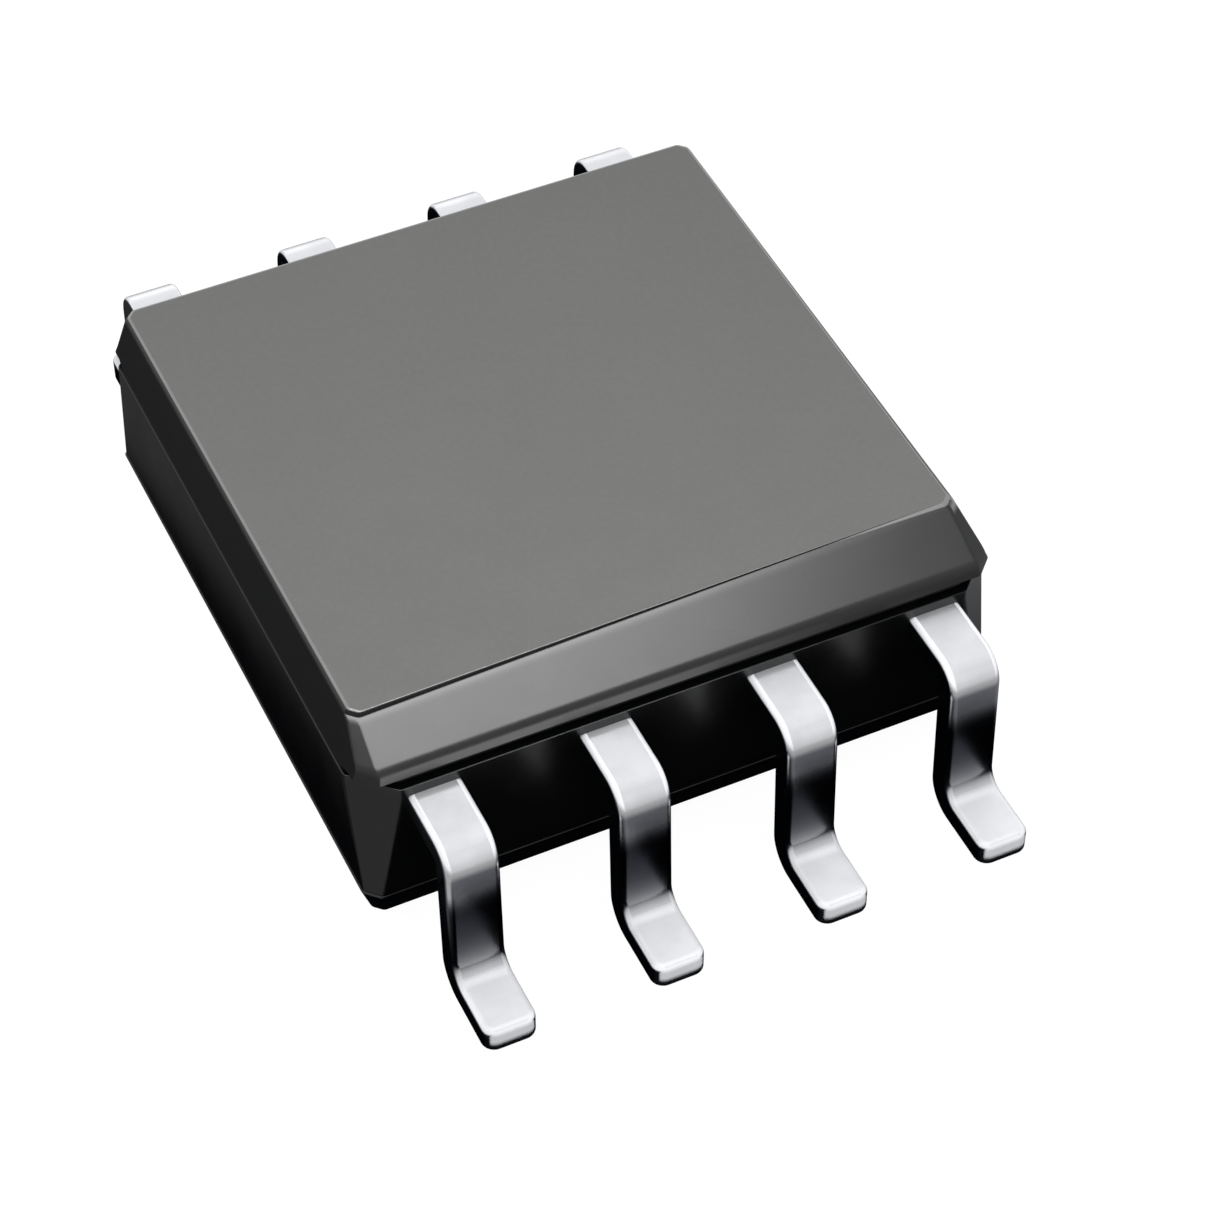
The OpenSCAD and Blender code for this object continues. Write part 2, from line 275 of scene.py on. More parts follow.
@dataclass(frozen=True)
class MouldCompound(Finish):
    """Black epoxy compound: matt on top, satin on the bevelled side and glossy elsewhere; the satin and
    glossy colours are painted shade, far darker than the top, and the edges and the bead carry painted
    highlights.
    """

    name: str = "mould_compound_matt_and_glossy"
    slot: Slot = Slot.MOULD
    # The satin and glossy colours are painted shade: the bevel and walls of the same compound are coloured
    # far darker than the matt top; only their lower roughness is real.
    matt: Colour = tint(0.168, 0.168, 0.160)
    satin: Colour = tint(0.007, 0.007, 0.0068)
    glossy: Colour = tint(0.0025, 0.0028, 0.003)
    # Painted highlight along the top's rounded end edges and the bevel's crest.
    painted_edge_highlight: Colour = tint(0.30, 0.30, 0.29)
    # Painted highlight line on the bead at the top of the chamfer round the underside.
    painted_bead_highlight: Colour = tint(0.09, 0.09, 0.095)
    matt_roughness: float = 0.85
    satin_roughness: float = 0.29
    glossy_roughness: float = 0.24
    ledge_polish: float = 0.17
    handling: Band = Band(-0.02, 0.02)
    top_height: Band = mm_band(1.80, 1.83)
    satin_height: Band = mm_band(1.500, 1.515)
    edge_highlight_height: Band = mm_band(1.838, 1.842)
    bead_height: Band = mm_band(0.50, 0.55)
    level_slope: Band = Band(0.985, 0.9985)
    front_slope: Band = Band(0.25, 0.40)
    painted_edge_slope: Band = Band(0.45, 0.75)
    side_slope: Band = Band(0.25, 0.45)
    bead_slope: Band = Band(0.3, 0.6)
    blotch_mm: float = 1.3
    blotch_detail: float = 3.0
    blotch_shade: Band = Band(0.98, 1.01)
    grain_mm: float = 0.045
    grain_detail: float = 4.0
    grain_from: Band = Band(0.3, 0.75)
    grain_shade: Band = Band(0.97, 1.03)
    grain_depth_mm: float = 0.0025
    grain_relief: Band = Band(0.08, 1.0)
    bump_strength: float = 0.6
    specular: float = 0.5

    def shader(self, sketch: NodeSketch) -> Socket:
        """Wires up the compound.

        Args:
            sketch: Sketch of the material's tree.

        Returns:
            The shader's socket.
        """
        place = sketch.object_place()
        height = sketch.dot(place, UP)
        normal = sketch.normal()
        upward = sketch.dot(normal, UP)
        level = sketch.ramp(upward, self.level_slope)
        on_top = sketch.ramp(height, self.top_height)
        matt = sketch.times(level, on_top)
        # Painted shade: the bevel and all faces that are not level on top take the far darker satin and
        # glossy colours.
        forward = sketch.ramp(sketch.dot(normal, FRONT), self.front_slope)
        satin = sketch.times(forward, sketch.ramp(height, self.satin_height))
        # Painted highlight on the top's rounded end edges and on the bevel's crest.
        sideways = sketch.math("ABSOLUTE", sketch.dot(normal, ALONG))
        at_ends = sketch.times(on_top, sketch.ramp(sideways, self.side_slope))
        crest = sketch.larger(at_ends, sketch.ramp(height, self.edge_highlight_height))
        edge = sketch.times(sketch.ramp(upward, self.painted_edge_slope), crest)
        smooth_part = sketch.blend(edge, sketch.blend(satin, self.glossy, self.satin), self.painted_edge_highlight)
        # Painted highlight line on the bead low on the walls.
        low = sketch.ramp(height, self.bead_height, FALLING)
        bead = sketch.times(low, sketch.ramp(upward, self.bead_slope))
        plain = sketch.blend(bead, sketch.blend(matt, smooth_part, self.matt), self.painted_bead_highlight)
        blotches = sketch.noise(place, self.blotch_mm, self.blotch_detail)
        grain = sketch.noise(place, self.grain_mm, self.grain_detail)
        speckle = sketch.ramp(grain, self.grain_from, self.grain_shade)
        shade = sketch.times(sketch.ramp(blotches, CLOUDS, self.blotch_shade), speckle)
        colour = sketch.add("ShaderNodeVectorMath", {"operation": "SCALE"}, i0=plain, Scale=shade).outputs[0]
        smooth = sketch.ramp(satin, RISING, Band(self.glossy_roughness, self.satin_roughness))
        handled = sketch.noise(place, self.blotch_mm / 4, self.grain_detail)
        ledge = sketch.times(sketch.minus(level, matt), self.ledge_polish)
        rough = sketch.times(matt, sketch.minus(self.matt_roughness, smooth))
        roughness = sketch.math("ADD", smooth, sketch.minus(rough, ledge))
        relief = sketch.times(grain, sketch.ramp(matt, RISING, self.grain_relief))
        return sketch.principled(
            Base_Color=colour,
            Roughness=sketch.math("ADD", roughness, sketch.ramp(handled, CLOUDS, self.handling)),
            Normal=sketch.bump(self.bump_strength, self.grain_depth_mm, relief),
            Specular_IOR_Level=self.specular,
        )


@dataclass(frozen=True)
class TinPlate(Finish):
    """Tin plate over the strip: bright where it is rubbed, with a painted dark reflection half way up the
    riser and painted shade on the strip's side faces.
    """

    name: str = "tin_plate_bright"
    slot: Slot = Slot.TIN
    bright: Colour = tint(0.90, 0.905, 0.92)
    dull: Colour = tint(0.84, 0.845, 0.865)
    # Painted dark reflection: the riser is coloured near black half way up.
    painted_dark_reflection: Colour = tint(0.004, 0.006, 0.014)
    # Painted shade on the strip's side faces, coloured dark blue-grey.
    painted_side_shade: Colour = tint(0.10, 0.11, 0.13)
    polish: Band = Band(0.20, 0.26)
    satin_roughness: float = 0.34
    satin_slope: Band = Band(0.72, 0.95)
    dark_reflection_low_mm: float = 0.18
    dark_reflection_middle_mm: float = 0.78
    dark_reflection_high_mm: float = 1.04
    dark_reflection_least: float = 0.02
    rise_curve: float = 0.6
    fall_curve: float = 1.2
    painted_edge_slope: Band = Band(0.80, 0.97)
    border_slope: Band = Band(0.08, 0.22)
    border_level: Band = Band(0.25, 0.55)
    border_wear: float = 0.85
    wear_height: Band = mm_band(0.3, 0.5)
    foot_metal: float = 0.2
    shoulder_metal: float = 0.85
    toe_reach: Band = mm_band(3.690, 3.705)
    toe_height: Band = mm_band(0.045, 0.10)
    cloud_mm: float = 0.25
    cloud_detail: float = 4.0
    cloud_from: Band = Band(0.35, 0.65)
    grain_mm: float = 0.03
    grain_detail: float = 3.0
    rolling_detail: float = 2.0
    rolling_stretch: float = 0.12
    grain_depth_mm: float = 0.0006
    bump_strength: float = 0.5

    def shader(self, sketch: NodeSketch) -> Socket:
        """Wires up the plate.

        Args:
            sketch: Sketch of the material's tree.

        Returns:
            The shader's socket.
        """
        place = sketch.object_place()
        normal = sketch.normal()
        height = sketch.dot(place, UP)
        sideways = sketch.math("ABSOLUTE", sketch.dot(normal, ALONG))
        clouds = sketch.noise(place, self.cloud_mm, self.cloud_detail)
        plate = sketch.blend(sketch.ramp(clouds, self.cloud_from), self.bright, self.dull)
        # Painted dark reflection half way up the riser.
        reflection_darkened = sketch.blend(self.cover(sketch, height), plate, self.painted_dark_reflection)
        # Painted shade on the faces that point along the rows, the strip's sides.
        colour = sketch.blend(sketch.ramp(sideways, self.painted_edge_slope), reflection_darkened, self.painted_side_shade)
        worn = self.wear(sketch, place, height, sketch.dot(normal, UP))
        bared = Band(1.0 - self.foot_metal, 1.0 - self.shoulder_metal)
        dulled = sketch.ramp(height, self.wear_height, bared)
        rounded = sketch.ramp(sideways, self.border_slope)
        border = sketch.times(rounded, sketch.ramp(sketch.dot(normal, UP), self.border_level))
        diffuse = sketch.larger(sketch.times(worn, dulled), sketch.times(border, self.border_wear))
        duller = sketch.times(worn, self.satin_roughness - self.polish.start)
        grain = sketch.noise(place, self.grain_mm, self.grain_detail)
        stretch = Vector((1.0, self.rolling_stretch, self.rolling_stretch))
        rolling = sketch.noise(place, self.grain_mm, self.rolling_detail, stretch)
        return sketch.principled(
            Base_Color=colour,
            Metallic=sketch.minus(1.0, diffuse),
            Roughness=sketch.math("ADD", sketch.ramp(clouds, CLOUDS, self.polish), duller),
            Normal=sketch.bump(self.bump_strength, self.grain_depth_mm, sketch.math("ADD", grain, rolling)),
        )

    def cover(self, sketch: NodeSketch, height: Socket) -> Socket:
        """Painted dark reflection that is densest half way up the riser.

        Args:
            sketch: Sketch of the material's tree.
            height: Height of the place.

        Returns:
            How far the painted dark reflection covers the plate.
        """
        rising = sketch.ramp(height, mm_band(self.dark_reflection_low_mm, self.dark_reflection_middle_mm))
        falling = sketch.ramp(height, mm_band(self.dark_reflection_middle_mm, self.dark_reflection_high_mm), FALLING)
        rise = sketch.math("POWER", rising, self.rise_curve)
        fall = sketch.math("POWER", falling, self.fall_curve)
        return sketch.minus(1.0, sketch.math("POWER", self.dark_reflection_least, sketch.times(rise, fall)))

    def wear(self, sketch: NodeSketch, place: Socket, height: Socket, upward: Socket) -> Socket:
        """Wear on the level parts of the strip and on the face of the toe.

        Args:
            sketch: Sketch of the material's tree.
            place: Place on the lead.
            height: Height of the place.
            upward: How far the surface faces up.

        Returns:
            How far the plate is worn to satin.
        """
        reach = sketch.math("ABSOLUTE", sketch.dot(place, BACK))
        toe = sketch.times(sketch.ramp(reach, self.toe_reach), sketch.ramp(height, self.toe_height))
        return sketch.larger(sketch.ramp(upward, self.satin_slope), toe)


@dataclass(frozen=True)
class InnerMetal(Finish):
    """A metal inside the body, clouded by handling and with a fine grain."""

    bright: Colour
    dull: Colour
    polish: Band = Band(0.25, 0.4)
    cloud_mm: float = 0.35
    cloud_detail: float = 4.0
    grain_mm: float = 0.04
    grain_detail: float = 3.0
    grain_depth_mm: float = 0.001
    bump_strength: float = 0.5

    def shader(self, sketch: NodeSketch) -> Socket:
        """Wires up the metal.

        Args:
            sketch: Sketch of the material's tree.

        Returns:
            The shader's socket.
        """
        place = sketch.object_place()
        clouds = sketch.noise(place, self.cloud_mm, self.cloud_detail)
        grain = sketch.noise(place, self.grain_mm, self.grain_detail)
        return sketch.principled(
            Base_Color=sketch.blend(sketch.ramp(clouds, CLOUDS), self.bright, self.dull),
            Metallic=1.0,
            Roughness=sketch.ramp(clouds, CLOUDS, self.polish),
            Normal=sketch.bump(self.bump_strength, self.grain_depth_mm, grain),
        )


@dataclass(frozen=True)
class SilverEpoxy(Finish):
    """Silver-filled epoxy under the die: matt resin with bright flakes in it."""

    name: str = "silver_epoxy_flaked"
    slot: Slot = Slot.EPOXY
    resin: Colour = tint(0.42, 0.41, 0.38)
    flake: Colour = tint(0.72, 0.72, 0.70)
    flake_mm: float = 0.02
    flake_depth_mm: float = 0.0025
    flake_from: Band = Band(0.2, 0.6)
    flake_metal: Band = Band(0.3, 0.8)
    flake_roughness: Band = Band(0.6, 0.4)
    bump_strength: float = 0.4

    def shader(self, sketch: NodeSketch) -> Socket:
        """Wires up the epoxy.

        Args:
            sketch: Sketch of the material's tree.

        Returns:
            The shader's socket.
        """
        place = sketch.object_place()
        flakes = sketch.add("ShaderNodeTexVoronoi", Vector=place, Scale=1 / (self.flake_mm * MM))
        amount = sketch.ramp(flakes.outputs["Distance"], self.flake_from, FALLING)
        return sketch.principled(
            Base_Color=sketch.blend(amount, self.resin, self.flake),
            Metallic=sketch.ramp(amount, RISING, self.flake_metal),
            Roughness=sketch.ramp(amount, RISING, self.flake_roughness),
            Normal=sketch.bump(self.bump_strength, self.flake_depth_mm, amount),
        )


@dataclass(frozen=True)
class SiliconDie(Finish):
    """Polished silicon whose circuit side shows blocks of fine wiring in blue-grey shades."""

    name: str = "silicon_with_circuit_blocks"
    slot: Slot = Slot.SILICON
    bare: Colour = tint(0.10, 0.11, 0.13)
    block_a: Colour = tint(0.16, 0.20, 0.30)
    block_b: Colour = tint(0.30, 0.24, 0.34)
    block_mm: float = 0.16
    track_mm: float = 0.24
    track_from: Band = Band(0.4, 0.6)
    track_cover: Band = Band(0.0, 0.35)
    circuit_slope: Band = Band(0.9, 0.99)
    polish: Band = Band(0.3, 0.16)
    metal: float = 0.6

    def shader(self, sketch: NodeSketch) -> Socket:
        """Wires up the silicon.

        Args:
            sketch: Sketch of the material's tree.

        Returns:
            The shader's socket.
        """
        place = sketch.object_place()
        circuit_side = sketch.ramp(sketch.dot(sketch.normal(), UP), self.circuit_slope)
        blocks = sketch.add(
            "ShaderNodeTexVoronoi", {"distance": "CHEBYCHEV"}, Vector=place, Scale=1 / (self.block_mm * MM)
        )
        tone = sketch.add("ShaderNodeSeparateColor", i0=blocks.outputs["Color"]).outputs[0]
        tracks = sketch.add("ShaderNodeTexWave", Vector=place, Scale=1 / (self.track_mm * MM))
        busy = sketch.blend(tone, self.block_a, self.block_b)
        between = sketch.ramp(tracks.outputs[0], self.track_from, self.track_cover)
        lined = sketch.blend(between, busy, self.bare)
        return sketch.principled(
            Base_Color=sketch.blend(circuit_side, self.bare, lined),
            Metallic=self.metal,
            Roughness=sketch.ramp(circuit_side, RISING, self.polish),
        )


COMPOUND = MouldCompound()
TIN = TinPlate()
COPPER = InnerMetal("copper_alloy_strip", Slot.COPPER, tint(0.88, 0.56, 0.38), tint(0.74, 0.42, 0.28))
GOLD = InnerMetal(
    "gold_wire", Slot.GOLD, tint(1.0, 0.77, 0.34), tint(0.92, 0.66, 0.26), Band(0.18, 0.4), grain_mm=0.01
)
SILVER_EPOXY = SilverEpoxy()
SILICON = SiliconDie()


# ---------------------------------------------------------------- mesh sketching


def arc(centre: Vector, radius: float, start: float, end: float, steps: int) -> list[Vector]:
    """Points of an arc.

    Args:
        centre: Centre of the arc.
        radius: Its radius.
        start: Angle of its first point, in degrees.
        end: Angle of its last point, in degrees.
        steps: Number of segments.

    Returns:
        The points, as 2D vectors.
    """
    angles = [math.radians(start + (end - start) * i / steps) for i in range(steps + 1)]
    return [centre + radius * Vector((math.cos(a), math.sin(a))) for a in angles]


def quarter(steps: int) -> list[tuple[float, float]]:
    """Steps round a quarter turn.

    Args:
        steps: Number of segments.

    Returns:
        Pairs of shares of the radius, one shrinking to nothing and one growing from it.
    """
    angles = [math.radians(90 * i / steps) for i in range(steps + 1)]
    return [(1 - math.sin(a), 1 - math.cos(a)) for a in angles]


@dataclass
class MeshSketch:
    """Points in millimetres and faces of one piece, gathered before it is made."""

    points: list[Vector] = field(default_factory=list)
    faces: list[list[int]] = field(default_factory=list)

    def ring(self, points: Iterable[Vector]) -> list[int]:
        """Adds points.

        Args:
            points: The points, in order.

        Returns:
            Their numbers.
        """
        first = len(self.points)
        self.points.extend(points)
        return list(range(first, len(self.points)))

    def bridge(self, low: list[int], high: list[int]) -> None:
        """Joins two closed rings of equal length with a band of quads.

        Args:
            low: Numbers of one ring's points.
            high: Numbers of the other's.
        """
        count = len(low)
        for i in range(count):
            j = (i + 1) % count
            self.faces.append([low[i], low[j], high[j], high[i]])

    def ladder(self, left: list[int], right: list[int]) -> None:
        """Fills the strip between two open rows of equal length with quads."""
        for i in range(len(left) - 1):
            self.faces.append([left[i], right[i], right[i + 1], left[i + 1]])

    def loft(self, rings: list[list[Vector]]) -> None:
        """Joins a stack of closed rings and closes both its ends.

        Args:
            rings: Points of the rings, from one end to the other.
        """
        numbered = [self.ring(ring) for ring in rings]
        for low, high in zip(numbered, numbered[1:]):
            self.bridge(low, high)
        self.faces.append(list(reversed(numbered[0])))
        self.faces.append(numbered[-1])

    def mesh(self, name: str) -> bpy.types.Mesh:
        """Makes a mesh in millimetres whose faces all point outwards.

        Args:
            name: Name of the mesh.

        Returns:
            The mesh.
        """
        mesh = bpy.data.meshes.new(name)
        mesh.from_pydata([tuple(p) for p in self.points], [], self.faces)
        shell = bmesh.new()
        shell.from_mesh(mesh)
        bmesh.ops.recalc_face_normals(shell, faces=shell.faces)
        if shell.calc_volume(signed=True) < 0:
            bmesh.ops.reverse_faces(shell, faces=shell.faces)
        shell.to_mesh(mesh)
        shell.free()
        return mesh


def millimetre_copy(node: str) -> bpy.types.Object:
    """Copies a CAD node's mesh as a closed working object in millimetres.

    Args:
        node: Name of the CAD node.

    Returns:
        The working object, which is not part of the piece list.
    """
    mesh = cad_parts[node].data.copy()
    mesh.transform(Matrix.Scale(1 / MM, 4))
    shell = bmesh.new()
    shell.from_mesh(mesh)
    bmesh.ops.remove_doubles(shell, verts=shell.verts, dist=WELD_MM)
    shell.to_mesh(mesh)
    shell.free()
    return working_object(f"cutter_{node}", mesh)


def working_object(name: str, mesh: bpy.types.Mesh) -> bpy.types.Object:
    """Makes an object of a mesh and links it.

    Args:
        name: Name of the object.
        mesh: Its mesh.

    Returns:
        The object.
    """
    made = bpy.data.objects.new(name, mesh)
    bpy.context.scene.collection.objects.link(made)
    return made


def cut(mesh: bpy.types.Mesh, cutters: list[bpy.types.Object]) -> bpy.types.Mesh:
    """Cuts working objects out of a mesh in millimetres and removes them.

    Args:
        mesh: Mesh to cut.
        cutters: Closed working objects.

    Returns:
        The mesh that is left.
    """
    block = working_object("block", mesh)
    for cutter in cutters:
        step = block.modifiers.new(cutter.name, "BOOLEAN")
        step.operation = "DIFFERENCE"
        step.solver = "EXACT"
        step.object = cutter
    bpy.context.view_layer.update()
    left = bpy.data.meshes.new_from_object(block.evaluated_get(bpy.context.evaluated_depsgraph_get()))
    for used in (block, *cutters):
        spent = used.data
        bpy.data.objects.remove(used)
        bpy.data.meshes.remove(spent)
    return left


def smooth_by_area(mesh: bpy.types.Mesh, sharp_from: float = 38.0) -> None:
    """Gives each face corner a normal averaged by area over its nearly level neighbours.

    Args:
        mesh: Mesh to shade.
        sharp_from: Angle between faces, in degrees, from which an edge stays sharp.
    """
    mesh.update()
    limit = math.cos(math.radians(sharp_from))
    around: list[list[int]] = [[] for _ in mesh.vertices]
    for face in mesh.polygons:
        for vertex in face.vertices:
            around[vertex].append(face.index)
    normals = [face.normal.copy() for face in mesh.polygons]
    weighted = [normals[face.index] * face.area for face in mesh.polygons]
    corners: list[Vector] = []
    for face in mesh.polygons:
        own = normals[face.index]
        for vertex in face.vertices:
            near = [weighted[other] for other in around[vertex] if normals[other].dot(own) > limit]
            corners.append(sum(near, Vector((0, 0, 0))).normalized())
    mesh.polygons.foreach_set("use_smooth", [True] * len(mesh.polygons))
    mesh.transform(Matrix.Scale(MM, 4))
    mesh.normals_split_custom_set(corners)
    mesh.update()


def finish_piece(
    name: str, mesh: bpy.types.Mesh, finish: Finish, stands_for: Iterable[str]
) -> bpy.types.Object:
    """Turns a mesh in millimetres into a dressed piece that rides on the body.

    Args:
        name: Name of the piece.
        mesh: Its mesh in millimetres, which is brought to metres here.
        finish: Its finish.
        stands_for: CAD nodes that it replaces.

    Returns:
        The piece.
    """
    smooth_by_area(mesh)
    mesh.name = name
    mesh.materials.clear()
    mesh.materials.append(finish.material())
    piece = working_object(name, mesh)
    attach(piece, BODY)
    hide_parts(*stands_for)
    LOG.info("%s: %d faces, %s", name, len(mesh.polygons), finish.name)
    return piece


def dress_node(node: str, finish: Finish) -> None:
    """Gives a CAD node that stays in view its finish.

    Args:
        node: Name of the node.
        finish: Its finish.
    """
    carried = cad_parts[node]
    carried.data.materials.clear()
    carried.data.materials.append(finish.material())
    LOG.info("%s: carried over, %s", node, finish.name)


# ---------------------------------------------------------------- sub-assemblies


@dataclass
class MouldBody:
    """The moulded body: drafted walls, a rim at the parting plane, a groove over it and a bevel."""

    half_length: float
    half_width: float
    underside: float
    top: float
    parting: float
    rim_height: float = 0.08
    rim_ledge: float = 0.035
    rim_edge_r: float = 0.002
    groove_height: float = 0.045
    groove_depth: float = 0.04
    lip_r: float = 0.008
    end_ledge: float = 0.01
    end_groove_depth: float = 0.005
    upper_draft: float = 16.0
    end_draft: float = 19.0
    lower_draft: float = 1.0
    skirt_height: float = 0.27
    skirt_width: float = 0.07
    skirt_bead: float = 0.01
    bevel_width: float = 0.42
    bevel_land: float = 0.14
    bevel_blend: float = 0.12
    top_edge_r: float = 0.03
    left_step: float = 0.046
    right_step: float = 0.003
    step_edge_r: float = 0.008
    step_lean: float = 0.05
    lip_width: float = 0.065
    lip_land: float = 0.008
    lip_rise: float = 0.001
    bottom_edge_r: float = 0.05
    upper_corner_cut: float = 0.15
    rim_corner_cut: float = 0.3
    corner_cut_end: float = 0.06
    corner_fillet: float = 0.05
    corner_steps: int = 5
    edge_steps: int = 8
    ejector_mark_d: float = 1.2
    ejector_mark_depth: float = 0.03
    ejector_mark_r: float = 0.01
    ejector_steps: int = 96

    @classmethod
    def from_frame(cls) -> "MouldBody":
        """Takes the body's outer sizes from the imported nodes.

        Returns:
            The body, not yet made.
        """
        low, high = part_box("mould_body")
        return cls(
            half_length=high.x / MM,
            half_width=high.y / MM,
            underside=low.z / MM,
            top=high.z / MM,
            parting=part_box("lead_1")[1].z / MM,
        )

    @property
    def rim_top(self) -> float:
        """Height of the top of the rim."""
        return self.parting + self.rim_height

    @property
    def bevel_angle(self) -> float:
        """Tilt of the bevel, in radians."""
        return math.atan((self.top - self.rim_top - self.bevel_land) / self.bevel_width)

    @property
    def skirt_top(self) -> float:
        """Height of the top of the chamfer round the underside."""
        return self.underside + self.skirt_height

    def wall_inset(self, z: float) -> float:
        """Returns the inset of a side wall above the rim, at height z."""
        return self.rim_ledge + (z - self.rim_top) * math.tan(math.radians(self.upper_draft))

    def end_inset(self, z: float) -> float:
        """Returns the inset of an end wall above the rim, at height z."""
        return self.end_ledge + (z - self.rim_top) * math.tan(math.radians(self.end_draft))

    def lower_inset(self, z: float) -> float:
        """Returns the inset of the lower walls and the chamfer under them, at height z."""
        chamfer = max(0.0, self.skirt_top - z) * self.skirt_width / self.skirt_height
        return (self.parting - z) * math.tan(math.radians(self.lower_draft)) + chamfer

    def corner_leg(self, z: float, widest: float, start: float, end: float) -> float:
        """Returns the cut across an upright corner at height z, which narrows from start to end."""
        return widest + (self.corner_cut_end - widest) * (z - start) / (end - start)

    def corner(self, half_x: float, half_y: float, leg: float) -> list[Vector]:
        """Outline of one upright corner, from the +X face round to the +Y face.

        Args:
            half_x: Half of the body's length at this height.
            half_y: Half of its width.
            leg: Cut across the corner.

        Returns:
            The points of the corner.
        """
        r = self.corner_fillet
        tangent = r * math.tan(math.radians(45) / 2)
        first = Vector((half_x - r, half_y - leg - tangent))
        second = Vector((half_x - leg - tangent, half_y - r))
        return arc(first, r, 0, 45, self.corner_steps) + arc(second, r, 45, 90, self.corner_steps)

    def ring(self, z: float, ends: float, inset: float, leg: float) -> list[Vector]:
        """Closed outline of the body at height z.

        Args:
            z: Height of the outline.
            ends: Inset of both end walls.
            inset: Inset of both sides.
            leg: Cut across the upright corners.

        Returns:
            The points of the outline, anticlockwise.
        """
        corner = self.corner(self.half_length - ends, self.half_width - inset, leg)
        return self.outline([Vector((p.x, p.y, z)) for p in corner])

    @staticmethod
    def outline(
        back: list[Vector], left: list[Vector] | None = None, right: list[Vector] | None = None
    ) -> list[Vector]:
        """Closed outline put together from corners that are all given for the +X, +Y quarter.

        Args:
            back: The corner of the plain side.
            left: The corner of the bevelled side at -X, where it differs.
            right: The corner of the bevelled side at +X, where it differs.

        Returns:
            The points of the outline, anticlockwise.
        """
        left, right = left or back, right or back
        outline = back + [Vector((-p.x, p.y, p.z)) for p in reversed(back)]
        outline += [Vector((-p.x, -p.y, p.z)) for p in left]
        return outline + [Vector((p.x, -p.y, p.z)) for p in reversed(right)]

    def lower_ring(self, z: float, inset: float) -> list[Vector]:
        """Returns an outline below the parting plane."""
        leg = self.corner_leg(z, self.rim_corner_cut, self.parting, self.underside)
        return self.ring(z, inset, inset, leg)

    def upper_ring(self, z: float, ends: float, inset: float) -> list[Vector]:
        """Returns an outline above the rim."""
        leg = self.corner_leg(z, self.upper_corner_cut, self.rim_top, self.top)
        return self.ring(z, ends, inset, leg)

    def upper_corner(self, z: float, inset: float) -> list[Vector]:
        """One upright corner above the groove, with the rounding of the top edge on its end wall.

        Args:
            z: Height of the corner.
            inset: Inset of the side there.

        Returns:
            The points of the corner.
        """
        leg = self.corner_leg(z, self.upper_corner_cut, self.rim_top, self.top)
        half_x = self.half_length - self.end_inset(z) - self.top_rounding(z)
        return [Vector((p.x, p.y, z)) for p in self.corner(half_x, self.half_width - inset, leg)]

    def top_rounding(self, z: float) -> float:
        """Returns how far the rounded top edge falls back at height z."""
        rise = max(0.0, z - (self.top - self.top_edge_r))
        return self.top_edge_r - math.sqrt(max(0.0, self.top_edge_r**2 - rise**2))

    def lower_rings(self) -> list[list[Vector]]:
        """Outlines from the underside up to the rounded outer edge of the rim.

        Returns:
            The outlines, from the bottom up.
        """
        rings = []
        for shrinking, growing in quarter(self.edge_steps):
            z = self.underside + self.bottom_edge_r * growing
            rings.append(self.lower_ring(z, self.lower_inset(z) + self.bottom_edge_r * shrinking))
        bead = self.skirt_bead
        for z, proud in ((self.skirt_top - bead, bead), (self.skirt_top, bead / 2), (self.skirt_top, 0.0)):
            rings.append(self.lower_ring(z, self.lower_inset(z) - proud))
        rings.append(self.lower_ring(self.parting, 0.0))
        for shrinking, growing in quarter(self.edge_steps // 2):
            z = self.rim_top - self.rim_edge_r * shrinking
            inset = self.rim_edge_r * growing
            rings.append(self.ring(z, inset, inset, self.rim_corner_cut))
        return rings

    def groove_rings(self) -> list[list[Vector]]:
        """Outlines of the groove between the rim's ledge and the walls above it.

        Returns:
            The outlines, from the bottom up.
        """
        top = self.rim_top + self.groove_height
        lip = self.wall_inset(top)
        end_lip = self.end_inset(top)
        foot = self.rim_ledge + self.groove_depth
        deep = lip + self.groove_depth
        rings = [
            self.ring(self.rim_top, self.end_ledge + self.end_groove_depth, foot, self.rim_corner_cut),
            self.upper_ring(top, end_lip + self.end_groove_depth, deep),
        ]
        for shrinking, growing in quarter(self.edge_steps // 2):
            ends = end_lip + self.end_groove_depth * shrinking / 2
            rings.append(self.upper_ring(top + self.lip_r * growing, ends, lip + self.lip_r * shrinking))
        return rings

    def front_profile(self, step: float) -> list[Vector]:
        """Section of the bevelled side from its wall to the top face, as inset and height.

        Args:
            step: Height of the upright step between the bevel's lip and the top face.

        Returns:
            The points of the section, from the bottom up.
        """
        draft = math.radians(self.upper_draft)
        angle = self.bevel_angle
        foot_z = self.rim_top + self.bevel_land
        foot = self.wall_inset(foot_z)
        turn = math.radians(90) - angle - draft
        reach = math.tan(turn / 2) * math.cos(draft)
        blend_r = min(self.bevel_blend, (self.bevel_land - self.groove_height) / reach)
        start = foot_z - blend_r * reach
        centre_x = self.wall_inset(start) + blend_r * math.cos(draft)
        centre = Vector((centre_x, start - blend_r * math.sin(draft)))
        blend = arc(centre, blend_r, 180 - self.upper_draft, 90 + math.degrees(angle), self.edge_steps)
        lip_z = self.top - step
        lip_start = lip_z - self.lip_width * math.tan(angle) / 2
        lip_x = foot + (lip_start - foot_z) / math.tan(angle)
        wall_x = lip_x + self.lip_width + self.lip_land
        r = min(self.step_edge_r, step / 2)
        lip = [
            Vector((lip_x, lip_start)),
            Vector((lip_x + self.lip_width, lip_z)),
            Vector((wall_x, lip_z + self.lip_rise)),
        ]
        edge = arc(Vector((wall_x + r + step * self.step_lean, self.top - r)), r, 180, 90, self.edge_steps)
        return blend + lip + edge

